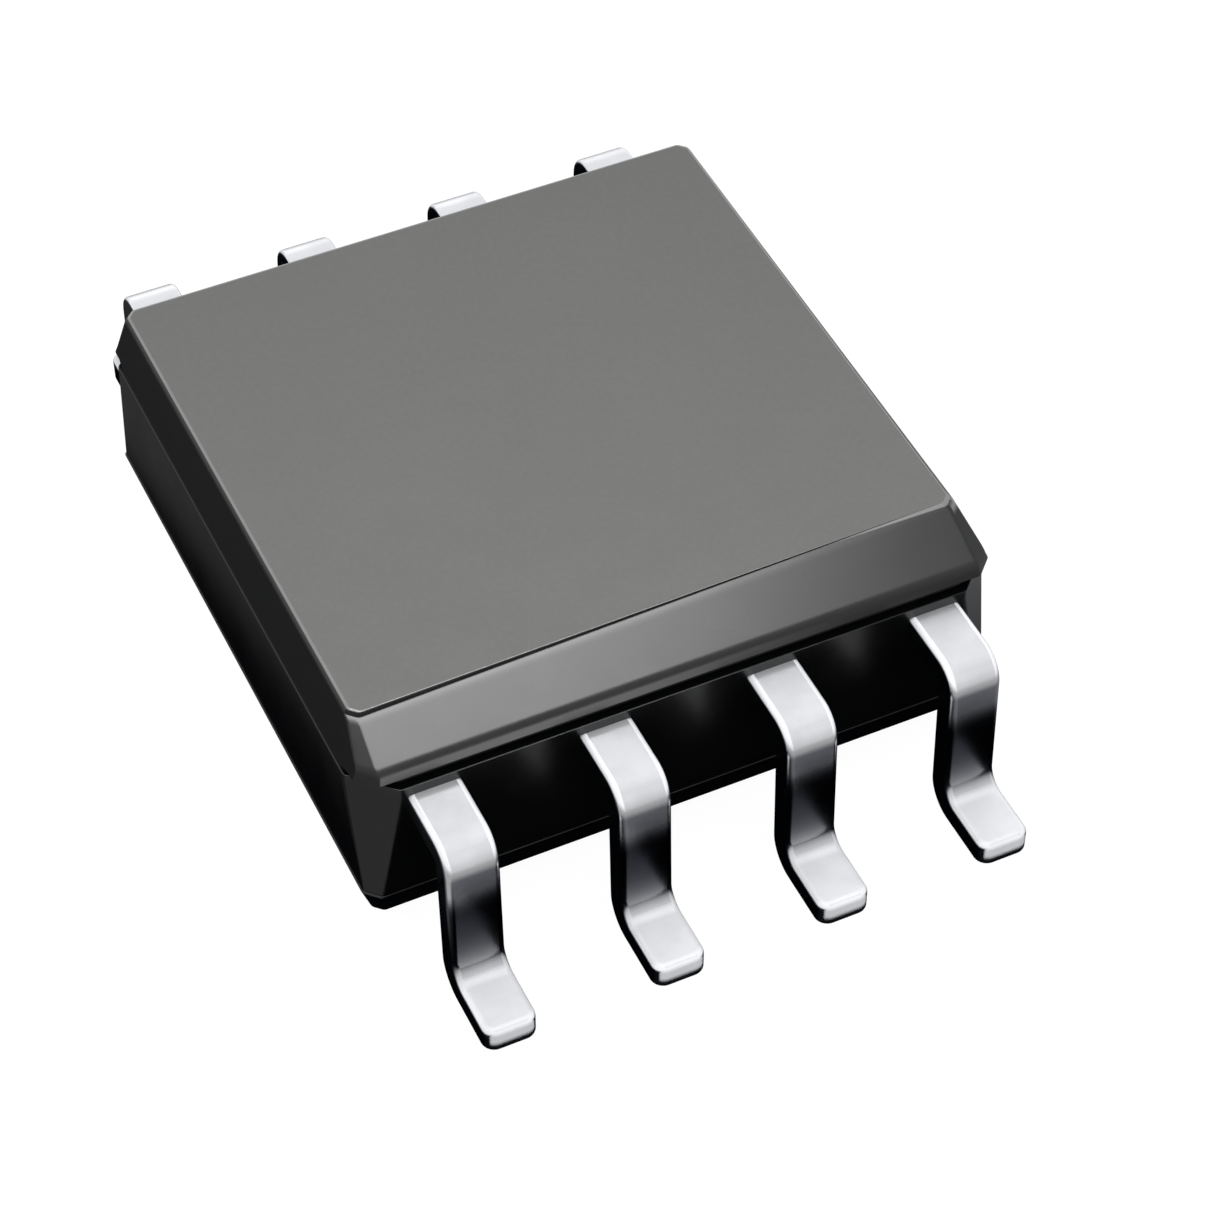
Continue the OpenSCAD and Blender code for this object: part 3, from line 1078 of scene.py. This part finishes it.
    def upper_rings(self) -> list[list[Vector]]:
        """Outlines from the upper walls through the bevel to the top face.

        Returns:
            The outlines, from the bottom up.
        """
        rings = []
        for left, right in zip(self.front_profile(self.left_step), self.front_profile(self.right_step)):
            back = self.upper_corner(left.y, self.wall_inset(left.y) + self.top_rounding(left.y))
            front_left = self.upper_corner(left.y, left.x)
            rings.append(self.outline(back, front_left, self.upper_corner(right.y, right.x)))
        return rings

    def ejector_cutter(self) -> bpy.types.Object:
        """Makes the round tool that leaves the ejector mark in the underside.

        Returns:
            The working object.
        """
        radius = self.ejector_mark_d / 2
        roof = self.underside + self.ejector_mark_depth
        centre = Vector((radius - self.ejector_mark_r, roof - self.ejector_mark_r))
        section = [Vector((radius, self.underside - self.ejector_mark_d))]
        section += arc(centre, self.ejector_mark_r, 0, 90, self.edge_steps)
        turns = [math.tau * j / self.ejector_steps for j in range(self.ejector_steps)]
        tool = MeshSketch()
        tool.loft([[Vector((p.x * math.cos(a), p.x * math.sin(a), p.y)) for a in turns] for p in section])
        return working_object("ejector", tool.mesh("ejector"))

    def build(self, enclosed: Iterable[str]) -> bpy.types.Object:
        """Makes the body and cuts out of it what it encloses.

        Args:
            enclosed: CAD nodes that the compound is moulded around.

        Returns:
            The dressed body.
        """
        block = MeshSketch()
        block.loft(self.lower_rings() + self.groove_rings() + self.upper_rings())
        cutters = [self.ejector_cutter()] + [millimetre_copy(node) for node in enclosed]
        mesh = cut(block.mesh("mould"), cutters)
        return finish_piece("moulded_body", mesh, COMPOUND, ["mould_body"])


@dataclass
class Station:
    """A place along a lead's strip: where its underside and top are, as reach and height."""

    under: Vector
    over: Vector

    def at(self, share: float) -> Vector:
        """Returns the point at a share of the thickness, from the underside up."""
        return self.under.lerp(self.over, share)


@dataclass
class Rung:
    """One step along a lead: its station and its outline on both sides."""

    station: Station
    along: float
    centre: float
    half: float


@dataclass
class GullWingLead:
    """One lead: a finger inside the body and a gull wing outside it, cut from rolled strip."""

    number: int
    side: Side
    x: float
    wall: float
    frame_top: float
    lead_reach: float
    width: float
    tip_shift: float
    over_edge_r: float
    strip: float = 0.2
    shoulder_reach: float = 0.64
    bend_r: float = 0.04
    foot_fillet_r: float = 0.14
    riser_lean: float = 2.0
    toe_r: float = 0.1
    finger_depth: float = 1.2
    finger_neck: float = 0.25
    tip_width: float = 0.56
    notch_r: float = 0.08
    under_edge_r: float = 0.02
    bend_steps: int = 18
    riser_steps: int = 4
    edge_steps: int = 6
    sharpest_turn: float = 0.5

    @property
    def frame_bottom(self) -> float:
        """Height of the strip's underside where it leaves the body."""
        return self.frame_top - self.strip

    def level_station(self, reach: float, base: float) -> Station:
        """Returns a station on a level part of the strip."""
        return Station(Vector((reach, base)), Vector((reach, base + self.strip)))

    def outside_stations(self) -> list[tuple[Station, float]]:
        """Stations from the wall to the start of the toe's corners, with the length along the strip.

        Returns:
            The stations and their lengths.
        """
        outer_r = self.bend_r + self.strip
        shoulder = Vector((self.shoulder_reach - outer_r, self.frame_top - outer_r))
        lean = math.radians(self.riser_lean)
        run = (outer_r + self.bend_r + (shoulder.y - outer_r) * math.sin(lean)) / math.cos(lean)
        foot = Vector((shoulder.x + run, outer_r))
        stations = [self.level_station(reach, self.frame_bottom) for reach in (0.0, shoulder.x / 2)]
        under = arc(shoulder, self.bend_r, 90, self.riser_lean, self.bend_steps)
        over = arc(shoulder, outer_r, 90, self.riser_lean, self.bend_steps)
        stations += [Station(u, o) for u, o in zip(under, over)]
        under = arc(foot, outer_r, 180 + self.riser_lean, 270, self.bend_steps)
        wider = self.foot_fillet_r - self.bend_r
        inner = foot + Vector((wider * (1 - math.sin(lean)) / math.cos(lean), wider))
        over = arc(inner, self.foot_fillet_r, 180 + self.riser_lean, 270, self.bend_steps)
        bend = stations[-1]
        for i in range(1, self.riser_steps):
            share = i / self.riser_steps
            stations.append(Station(bend.under.lerp(under[0], share), bend.over.lerp(over[0], share)))
        stations += [Station(u, o) for u, o in zip(under, over)]
        lengths = [0.0]
        for before, after in zip(stations, stations[1:]):
            lengths.append(lengths[-1] + (after.at(0.5) - before.at(0.5)).length)
        return list(zip(stations, lengths))

    def rungs(self) -> list[Rung]:
        """All steps of the lead, from the tip of its finger to the end of its toe.

        Returns:
            The rungs.
        """
        half = self.width / 2
        half_tip = self.tip_width / 2
        flare_end = self.finger_neck + abs(self.tip_shift) + half_tip - half
        middle = -(flare_end + self.finger_depth) / 2
        inside = [(-self.finger_depth, self.tip_shift, half_tip)]
        for point in arc(Vector((0, middle)), self.notch_r, -90, 90, self.bend_steps):
            inside.append((point.y, self.tip_shift, half_tip - point.x))
        inside += [(-flare_end, self.tip_shift, half_tip), (-self.finger_neck, 0.0, half)]
        rungs = [Rung(self.level_station(s, self.frame_bottom), s, c, h) for s, c, h in inside]
        outside = self.outside_stations()
        rungs += [Rung(station, along, 0.0, half) for station, along in outside]
        last, length = outside[-1]
        flat = last.under.x
        centre = Vector((half - self.toe_r, self.lead_reach - self.toe_r))
        for point in arc(centre, self.toe_r, 0, 90, self.bend_steps // 2):
            rungs.append(Rung(self.level_station(point.y, 0.0), length + point.y - flat, 0.0, point.x))
        return rungs

    def levels(self) -> list[tuple[float, float]]:
        """Rounding of the strip's edges.

        Returns:
            Pairs of inset from the outline and share of the thickness, from the top face down.
        """
        over, under = self.over_edge_r, self.under_edge_r
        turns = quarter(self.edge_steps)
        made = [(over * shrinking, 1 - over * growing / self.strip) for shrinking, growing in turns]
        return made + [(under * growing, under * shrinking / self.strip) for shrinking, growing in turns]

    def inward(self, outline: list[Vector]) -> list[Vector]:
        """Direction and length by which each outline point moves for an inset of one.

        Args:
            outline: Closed outline of the blank, anticlockwise.

        Returns:
            One vector for each point.
        """
        made = []
        for i, here in enumerate(outline):
            before = (here - outline[i - 1]).normalized()
            after = (outline[(i + 1) % len(outline)] - here).normalized()
            first, second = Vector((-before.y, before.x)), Vector((-after.y, after.x))
            mean = (first + second).normalized()
            made.append(mean / max(mean.dot(first), self.sharpest_turn))
        return made

    def place(self, u: float, point: Vector) -> Vector:
        """Returns a point of the lead in the frame, in millimetres."""
        return Vector((self.x + u, self.side.value * (self.wall + point.x), point.y))

    def build(self) -> bpy.types.Object:
        """Makes the lead.

        Returns:
            The dressed lead.
        """
        rungs = self.rungs()
        walk = [(rung, 1) for rung in rungs] + [(rung, -1) for rung in reversed(rungs)]
        outline = [Vector((rung.centre + sign * rung.half, rung.along)) for rung, sign in walk]
        inward = self.inward(outline)
        strip = MeshSketch()
        rings = []
        for inset, share in self.levels():
            ring = []
            for (rung, _), start, way in zip(walk, outline, inward):
                point = rung.station.at(share) + Vector((way.y * inset, 0.0))
                ring.append(self.place(start.x + way.x * inset, point))
            rings.append(strip.ring(ring))
        for above, below in zip(rings, rings[1:]):
            strip.bridge(above, below)
        count = len(rungs)
        for ring in (rings[0], rings[-1]):
            strip.ladder(ring[:count], list(reversed(ring[count:])))
        name = f"gull_wing_lead_{self.number}"
        return finish_piece(name, strip.mesh(name), TIN, [f"lead_{self.number}"])


@dataclass
class LeadFrame:
    """Both rows of leads, the die's paddle and its tie bars."""

    leads_per_row: int = 4
    corner_tip_shift: float = 0.25
    bevelled_side_edge_r: float = 0.055
    plain_side_edge_r: float = 0.03
    leads: list[bpy.types.Object] = field(default_factory=list)

    def numbers(self) -> range:
        """Returns the numbers of all leads."""
        return range(1, 2 * self.leads_per_row + 1)

    def lead(self, number: int) -> GullWingLead:
        """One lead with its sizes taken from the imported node.

        Args:
            number: Number of the lead.

        Returns:
            The lead, not yet made.
        """
        foot_low, foot_high = self.foot_box(number)
        side = Side.BEVELLED if number <= self.leads_per_row else Side.PLAIN
        edge_r = self.bevelled_side_edge_r if side is Side.BEVELLED else self.plain_side_edge_r
        column = number - 1 if side is Side.BEVELLED else 2 * self.leads_per_row - number
        shift = {0: self.corner_tip_shift, self.leads_per_row - 1: -self.corner_tip_shift}.get(column, 0.0)
        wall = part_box("mould_body")[1].y / MM
        low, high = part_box(f"lead_{number}")
        reach = max(abs(low.y), abs(high.y)) / MM - wall
        return GullWingLead(
            number=number,
            side=side,
            x=(foot_low + foot_high) / 2,
            wall=wall,
            frame_top=high.z / MM,
            lead_reach=reach,
            width=foot_high - foot_low,
            tip_shift=shift,
            over_edge_r=edge_r,
        )

    def foot_box(self, number: int) -> tuple[float, float]:
        """Lowest and highest X of a lead outside the body.

        Args:
            number: Number of the lead.

        Returns:
            Both values in millimetres.
        """
        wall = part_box("mould_body")[1].y
        xs = [v.co.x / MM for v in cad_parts[f"lead_{number}"].data.vertices if abs(v.co.y) > wall]
        return min(xs), max(xs)

    def build(self) -> None:
        """Makes the leads and dresses the paddle."""
        self.leads = [self.lead(number).build() for number in self.numbers()]
        dress_node("die_paddle", COPPER)


@dataclass
class DieAndBonds:
    """The silicon die, its attach layer and the bond wires inside the body."""

    wires: int = 8

    def wire_names(self) -> list[str]:
        """Returns the names of the wires' nodes."""
        return [f"bond_wire_{number}" for number in range(1, self.wires + 1)]

    def build(self) -> None:
        """Dresses the nodes of the die, its attach layer and its wires."""
        dress_node("die_attach", SILVER_EPOXY)
        dress_node("silicon_die", SILICON)
        for name in self.wire_names():
            dress_node(name, GOLD)


# ---------------------------------------------------------------- studio


@dataclass(frozen=True)
class Fade:
    """How a lamp's brightness changes along one axis: over which places, and between which shares."""

    over: Band
    to: Band = FALLING


@dataclass(frozen=True)
class SoftLamp:
    """A rectangular lamp, given by two opposite corners in millimetres and a turn about X in degrees."""

    name: str
    low: Vector
    high: Vector
    radiance: float
    tilt: float = 0.0
    fade_x: Fade | None = None
    fade_y: Fade | None = None
    watts_per_radiance: float = 4.0

    def build(self, lit: Iterable[bpy.types.Object]) -> bpy.types.Object:
        """Hangs the lamp, which shows in the gloss of what it lights and nowhere else.

        Args:
            lit: The pieces that it lights.

        Returns:
            The lamp.
        """
        span = (self.high - self.low) * MM
        data = bpy.data.lights.new(self.name, "AREA")
        data.shape = "RECTANGLE"
        data.size = span.x
        data.size_y = span.yz.length
        data.energy = self.watts_per_radiance * data.size * data.size_y
        sketch = NodeSketch.blank(data)
        place = sketch.add("ShaderNodeNewGeometry").outputs["Position"]
        parts = sketch.add("ShaderNodeSeparateXYZ", i0=place).outputs
        radiance = self.radiance
        for part, fade in zip(parts, (self.fade_x, self.fade_y)):
            if fade is not None:
                radiance = sketch.times(radiance, sketch.ramp(part, fade.over, fade.to))
        glow = sketch.add("ShaderNodeEmission", Color=grey(1.0), Strength=radiance)
        sketch.add("ShaderNodeOutputLight", Surface=glow.outputs[0])
        lamp = bpy.data.objects.new(self.name, data)
        lamp.location = (self.low + self.high) / 2 * MM
        lamp.rotation_euler = (math.radians(self.tilt), 0.0, 0.0)
        bpy.context.scene.collection.objects.link(lamp)
        lamp.visible_camera = False
        lamp.visible_diffuse = False
        receivers = bpy.data.collections.new(f"{self.name}_receivers")
        for piece in lit:
            receivers.objects.link(piece)
        lamp.light_linking.receiver_collection = receivers
        return lamp


@dataclass
class PaintedReflectionSheet:
    """A glowing sheet under the part that only reflections see: a painted reflection, dark near the part as
    painted contact shadow and paler away from it.
    """

    half_x: float = CAD_BOX[1].x
    half_y: float = CAD_BOX[1].y
    drop: float = 0.02 * MM
    back_dark: float = 0.7 * MM
    near_gap: Band = mm_band(0.12, 0.55)
    near_curve: float = 1.8
    middle_gap: Band = mm_band(0.55, 2.0)
    far_gap: Band = mm_band(2.0, 12.0)
    # Painted contact shadow: next to the part the sheet glows nearly black.
    painted_contact_shadow: Colour = tint(0.001, 0.0015, 0.003)
    near: Colour = tint(0.13, 0.135, 0.15)
    middle: Colour = grey(0.36)
    far: Colour = grey(0.62)
    end_slant: float = 0.106
    end_near_gap: Band = mm_band(0.35, 0.5)
    end_far_gap: Band = mm_band(1.2, 6.0)
    end_painted_contact_shadow: Colour = tint(0.001, 0.001, 0.002)
    end_near: Colour = grey(0.085)
    end_far: Colour = grey(0.17)
    end_start: Band = mm_band(-0.1, 0.0)
    end_front: Band = mm_band(-2.5, -2.1)
    corner_gap: Band = mm_band(0.0, 0.4)
    corner_front: Band = mm_band(-2.3, -2.6)
    corner: Colour = grey(0.4)

    def material(self) -> bpy.types.Material:
        """Makes the sheet's glow from the gap to the part, with painted shade near the part.

        Returns:
            The material.
        """
        material = bpy.data.materials.new("painted_reflection_sheet")
        sketch = NodeSketch.blank(material)
        place = sketch.add("ShaderNodeNewGeometry").outputs["Position"]
        x, y = sketch.add("ShaderNodeSeparateXYZ", i0=place).outputs[:2]
        off_end = sketch.minus(sketch.times(x, -1.0), self.half_x)
        around = self.around(sketch, x, y)
        corner = sketch.times(sketch.ramp(off_end, self.corner_gap), sketch.ramp(y, self.corner_front))
        beside = sketch.times(sketch.ramp(off_end, self.end_start), sketch.ramp(y, self.end_front))
        flank = sketch.blend(corner, around, self.corner)
        shade = sketch.blend(beside, flank, self.off_left_end(sketch, off_end, y))
        # The glow is a painted reflection of the floor, with painted shade near the part.
        glow = sketch.add("ShaderNodeEmission", Color=shade, Strength=1.0)
        sketch.add("ShaderNodeOutputMaterial", Surface=glow.outputs[0])
        return material

    def around(self, sketch: NodeSketch, x: Socket, y: Socket) -> Socket:
        """Painted shade all round the part, darkest next to it.

        Args:
            sketch: Sketch of the material's tree.
            x: Place along the rows.
            y: Place across them.

        Returns:
            The shade.
        """
        beyond_x = sketch.larger(sketch.minus(sketch.math("ABSOLUTE", x), self.half_x), 0.0)
        to_front = sketch.minus(sketch.times(y, -1.0), self.half_y)
        to_back = sketch.minus(y, self.half_y + self.back_dark)
        beyond_y = sketch.larger(sketch.larger(to_front, to_back), 0.0)
        squares = [sketch.math("POWER", beyond, 2.0) for beyond in (beyond_x, beyond_y)]
        gap = sketch.math("SQRT", sketch.math("ADD", *squares))
        near = sketch.math("POWER", sketch.ramp(gap, self.near_gap), self.near_curve)
        shade = sketch.blend(near, self.painted_contact_shadow, self.near)
        shade = sketch.blend(sketch.ramp(gap, self.middle_gap), shade, self.middle)
        return sketch.blend(sketch.ramp(gap, self.far_gap), shade, self.far)

    def off_left_end(self, sketch: NodeSketch, off_end: Socket, y: Socket) -> Socket:
        """Painted shade off the body's end at -X, whose dark part widens to the back.

        Args:
            sketch: Sketch of the material's tree.
            off_end: Gap to the end wall.
            y: Place across the rows.

        Returns:
            The shade.
        """
        slant = sketch.math("ADD", off_end, sketch.times(y, self.end_slant))
        close = sketch.blend(sketch.ramp(slant, self.end_near_gap), self.end_painted_contact_shadow, self.end_near)
        return sketch.blend(sketch.ramp(off_end, self.end_far_gap), close, self.end_far)


@dataclass
class Studio:
    """Pale floor, white dome, soft lamps for the moulding and a glowing sheet of painted reflection and
    painted shade that only reflections see.
    """

    floor_size: float = 0.6
    floor_shade: Colour = grey(0.12)
    floor_roughness: float = 0.8
    floor_glow: float = 0.96
    reflection_sheet: PaintedReflectionSheet = field(default_factory=PaintedReflectionSheet)
    softbox: SoftLamp = SoftLamp(
        "softbox", Vector((-5.0, -6.5, 8.5)), Vector((7.0, 1.0, 8.5)), radiance=5.2,
        fade_x=Fade(mm_band(1.2, 5.3)), fade_y=Fade(mm_band(-3.0, -1.5), Band(1.0, 1.5)),
    )
    front_strip: SoftLamp = SoftLamp(
        "front_strip", Vector((-2.4, -3.8, 0.8)), Vector((2.4, -3.8, 1.6)), radiance=2.4, tilt=90.0,
        fade_x=Fade(mm_band(-0.6, 2.1)),
    )
    lead_wash: SoftLamp = SoftLamp(
        "lead_wash", Vector((-5.0, -9.5, 8.5)), Vector((5.0, -1.0, 8.5)), radiance=1.5
    )
    sky_colour: Colour = tint(0.975, 0.985, 1.0)
    dome_height: Band = Band(0.0, 0.55)
    dome_radiance: Band = Band(0.66, 0.84)
    behind: Band = Band(0.35, 0.65)
    low_down: Band = Band(0.25, 0.6)
    low_radiance: float = 0.6

    def sheet(self, name: str, drop: float, material: bpy.types.Material) -> bpy.types.Object:
        """Lays a square sheet that throws no light.

        Args:
            name: Name of the sheet.
            drop: How far it lies under the feet.
            material: Its material.

        Returns:
            The sheet.
        """
        half = self.floor_size / 2
        corners = [(-half, -half, -drop), (half, -half, -drop), (half, half, -drop), (-half, half, -drop)]
        mesh = bpy.data.meshes.new(name)
        mesh.from_pydata(corners, [], [list(range(len(corners)))])
        mesh.materials.append(material)
        laid = working_object(name, mesh)
        laid.visible_diffuse = False
        return laid

    def add_floor(self) -> None:
        """Lays the pale floor that the camera sees."""
        material = bpy.data.materials.new("floor")
        sketch = NodeSketch.blank(material)
        surface = sketch.principled(
            Base_Color=self.floor_shade,
            Roughness=self.floor_roughness,
            Specular_IOR_Level=0.0,
            Emission_Color=grey(1.0),
            Emission_Strength=self.floor_glow,
        )
        sketch.add("ShaderNodeOutputMaterial", Surface=surface)
        floor = self.sheet("floor", 0.0, material)
        floor.visible_glossy = False

    def add_painted_reflection_sheet(self) -> None:
        """Lays the glowing sheet of painted reflection just under the floor."""
        reflection_sheet = self.sheet("painted_reflection_sheet", self.reflection_sheet.drop, self.reflection_sheet.material())
        reflection_sheet.visible_camera = False
        reflection_sheet.visible_shadow = False

    def add_sky(self) -> None:
        """Wraps the studio in a soft white dome, brightest low down behind the part."""
        world = bpy.data.worlds.new("studio_dome")
        sketch = NodeSketch.blank(world)
        way = sketch.add("ShaderNodeTexCoord").outputs["Generated"]
        height = sketch.dot(way, UP)
        dome = sketch.ramp(height, self.dome_height, self.dome_radiance)
        behind = sketch.ramp(sketch.dot(way, BACK), self.behind)
        low = sketch.times(behind, sketch.ramp(height, self.low_down, FALLING))
        radiance = sketch.math("ADD", dome, sketch.times(low, self.low_radiance))
        sky = sketch.add("ShaderNodeBackground", Color=self.sky_colour, Strength=radiance)
        sketch.add("ShaderNodeOutputWorld", Surface=sky.outputs[0])
        bpy.context.scene.world = world

    def build(self, body: bpy.types.Object, leads: Iterable[bpy.types.Object]) -> None:
        """Sets the whole studio up.

        Args:
            body: The moulded body, which two of the lamps light.
            leads: The leads, which the third lights.
        """
        self.add_floor()
        self.add_painted_reflection_sheet()
        self.softbox.build([body])
        self.front_strip.build([body])
        wash = self.lead_wash.build(leads)
        wash.visible_diffuse = True
        wash.visible_glossy = False
        self.add_sky()
        bpy.context.scene.view_settings.view_transform = "Standard"


@dataclass
class ProductCamera:
    """The camera, aimed from the front left and above."""

    azimuth: float = -25.2
    elevation: float = 47.0
    distance_mm: float = 27.0
    lens_mm: float = 106.97687
    sensor_mm: float = 36.0
    aim_height_mm: float = 0.8
    right_mm: float = 0.5392
    up_mm: float = -0.6802
    nearest_share: float = 1 / 30
    farthest_share: float = 100.0

    def build(self) -> bpy.types.Object:
        """Makes the camera and gives it to the scene.

        Returns:
            The camera.
        """
        a, e = math.radians(self.azimuth), math.radians(self.elevation)
        back = Vector((math.sin(a) * math.cos(e), -math.cos(a) * math.cos(e), math.sin(e)))
        right = Vector((math.cos(a), math.sin(a), 0.0))
        up = back.cross(right)
        data = bpy.data.cameras.new("product_camera")
        data.sensor_width = self.sensor_mm
        data.lens = self.lens_mm
        data.clip_start = self.distance_mm * MM * self.nearest_share
        data.clip_end = self.distance_mm * MM * self.farthest_share
        camera = bpy.data.objects.new("product_camera", data)
        place = Vector((0, 0, self.aim_height_mm)) + back * self.distance_mm
        place += right * self.right_mm + up * self.up_mm
        turn = Matrix((right, up, back)).transposed().to_4x4()
        camera.matrix_world = Matrix.Translation(place * MM) @ turn
        bpy.context.scene.collection.objects.link(camera)
        bpy.context.scene.camera = camera
        return camera


def write_sizes() -> None:
    """Updates the view layer."""
    bpy.context.view_layer.update()


def main() -> None:
    """Builds the part, the studio and the camera in order."""
    logging.basicConfig(level=logging.INFO, format="%(name)s: %(message)s")
    ProductCamera().build()
    lead_frame = LeadFrame()
    chip = DieAndBonds()
    enclosed = [f"lead_{number}" for number in lead_frame.numbers()]
    enclosed += ["die_paddle", "die_attach", "silicon_die", *chip.wire_names()]
    body = MouldBody.from_frame().build(enclosed)
    lead_frame.build()
    chip.build()
    Studio().build(body, lead_frame.leads)
    write_sizes()


if __name__ == "__main__":
    main()
